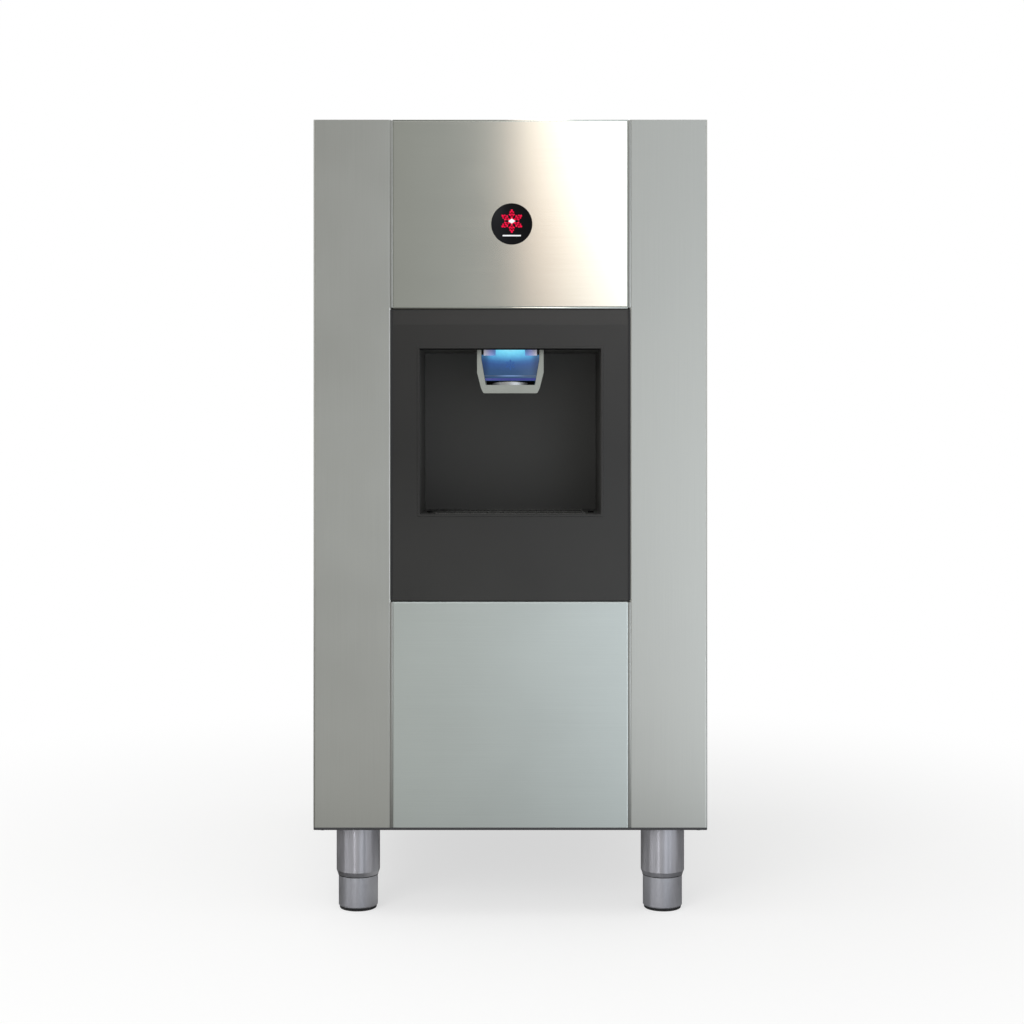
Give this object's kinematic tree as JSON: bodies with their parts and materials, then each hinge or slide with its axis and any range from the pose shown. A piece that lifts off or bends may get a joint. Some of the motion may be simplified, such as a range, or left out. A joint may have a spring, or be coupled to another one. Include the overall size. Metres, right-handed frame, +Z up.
{
  "type": "ice dispenser",
  "caption": "Floor-standing ice dispenser with a stainless cabinet, black dispensing panel, lit alcove, rocking chute, insulated bin and adjustable legs.",
  "frame": {"origin": "on the floor, under the middle of the cabinet's footprint", "axes": "+X to the right as seen from the front, +Y to the back, +Z up"},
  "size_m": [0.56, 0.8, 1.1523],
  "materials": {
    "brushed_stainless": "satin, brushed upright",
    "satin_stainless": "satin",
    "bright_steel": "bright",
    "galvanised_sheet": "satin",
    "black_moulding": "fine grain",
    "black_gloss": "gloss",
    "pale_grey_moulding": "semi gloss",
    "blue_translucent": "translucent",
    "lilac_clip": "gloss",
    "white_polymer": "matte",
    "rigid_foam": "matte",
    "black_rubber": "matte",
    "grey_pipe": "matte",
    "cast_housing": "painted",
    "painted_motor": "satin",
    "board_green": "satin"
  },
  "bodies": {
    "cabinet": {"side_panel_left": "brushed_stainless", "side_panel_right": "brushed_stainless", "front_panel_upper": "brushed_stainless", "front_panel_lower": "brushed_stainless", "top_deck": "brushed_stainless", "base_pan": "galvanised_sheet", "rear_panel": "galvanised_sheet", "bottom_screws": "bright_steel", "rear_screws": "bright_steel", "badge_disc": "black_gloss", "leg_sleeves": "satin_stainless", "leg_plates": "galvanised_sheet", "leg_nuts": "bright_steel", "bin_liner": "white_polymer", "bin_insulation": "rigid_foam", "bin_saddles": "galvanised_sheet", "drive_stand": "galvanised_sheet", "shaft_bushes": "white_polymer", "gearbox": "cast_housing", "motor": "painted_motor", "dispense_panel": "black_moulding", "alcove_liner": "black_moulding", "drip_tray": "black_moulding", "chute_pin": "bright_steel", "chute_spring": "bright_steel", "switch_body": "black_gloss", "light_module": "board_green", "outlet_duct": "satin_stainless", "solenoid_body": "painted_motor", "lid_hinge_leaves": "satin_stainless", "drain_manifold": "grey_pipe", "drain_hose": "black_rubber", "cable_gland": "black_moulding", "control_box": "galvanised_sheet", "control_cover": "galvanised_sheet", "control_board": "board_green"},
    "chute": {"rocking_chute": "pale_grey_moulding", "chute_lens": "blue_translucent", "lens_clips": "lilac_clip", "chute_lip": "satin_stainless"},
    "button": {"switch_button": "lilac_clip"},
    "flap": {"shutter": "satin_stainless"},
    "plunger": {"solenoid_plunger": "bright_steel"},
    "rotor": {"paddle_wheel": "satin_stainless", "drive_shaft": "bright_steel", "agitator_rods": "satin_stainless"},
    "lid": {"bin_lid": "white_polymer", "lid_gasket": "black_rubber", "lid_handle": "satin_stainless", "lid_hinge_straps": "satin_stainless"},
    "grille": {"drip_grille": "black_moulding"},
    "screw_foot_front_left": {"foot_front_left": "satin_stainless", "glide_front_left": "black_rubber"},
    "screw_foot_front_right": {"foot_front_right": "satin_stainless", "glide_front_right": "black_rubber"},
    "screw_foot_rear_left": {"foot_rear_left": "satin_stainless", "glide_rear_left": "black_rubber"},
    "screw_foot_rear_right": {"foot_rear_right": "satin_stainless", "glide_rear_right": "black_rubber"}
  },
  "joints": [
    {"name": "chute_rock", "type": "hinge", "parent": "cabinet", "child": "chute", "pos_m": [0, -0.3758, 0.826], "axis": [1, 0, 0], "range_deg": [0, 12], "stiffness_Nm_per_rad": 1},
    {"name": "button_press", "type": "slide", "parent": "cabinet", "child": "button", "axis": [0, 0, 1], "range_m": [0, 0.0033], "stiffness_N_per_m": 60},
    {"name": "shutter_open", "type": "hinge", "parent": "cabinet", "child": "flap", "pos_m": [0, -0.2498, 0.922], "axis": [-1, 0, 0], "range_deg": [0, 35], "stiffness_Nm_per_rad": 0.5},
    {"name": "plunger_pull", "type": "slide", "parent": "cabinet", "child": "plunger", "axis": [0, -1, 0], "range_m": [0, 0.0155]},
    {"name": "wheel_spin", "type": "hinge", "parent": "cabinet", "child": "rotor", "pos_m": [0, 0, 0.73], "axis": [0, 1, 0], "continuous": true},
    {"name": "lid_open", "type": "hinge", "parent": "cabinet", "child": "lid", "pos_m": [0, 0.2532, 1.1413], "axis": [-1, 0, 0], "range_deg": [0, 95]},
    {"name": "grille_lift", "type": "slide", "parent": "cabinet", "child": "grille", "axis": [0, 0, 1], "range_m": [0, 0.05]},
    {"name": "level_front_left", "type": "slide", "parent": "cabinet", "child": "screw_foot_front_left", "axis": [0, 0, -1], "range_m": [0, 0.02]},
    {"name": "level_front_right", "type": "slide", "parent": "cabinet", "child": "screw_foot_front_right", "axis": [0, 0, -1], "range_m": [0, 0.02]},
    {"name": "level_rear_left", "type": "slide", "parent": "cabinet", "child": "screw_foot_rear_left", "axis": [0, 0, -1], "range_m": [0, 0.02]},
    {"name": "level_rear_right", "type": "slide", "parent": "cabinet", "child": "screw_foot_rear_right", "axis": [0, 0, -1], "range_m": [0, 0.02]}
  ],
  "couplings": [
    {"joint": "button_press", "follows": "chute_rock", "m_per_rad": 0.015},
    {"joint": "plunger_pull", "follows": "shutter_open", "m_per_rad": 0.024613}
  ]
}
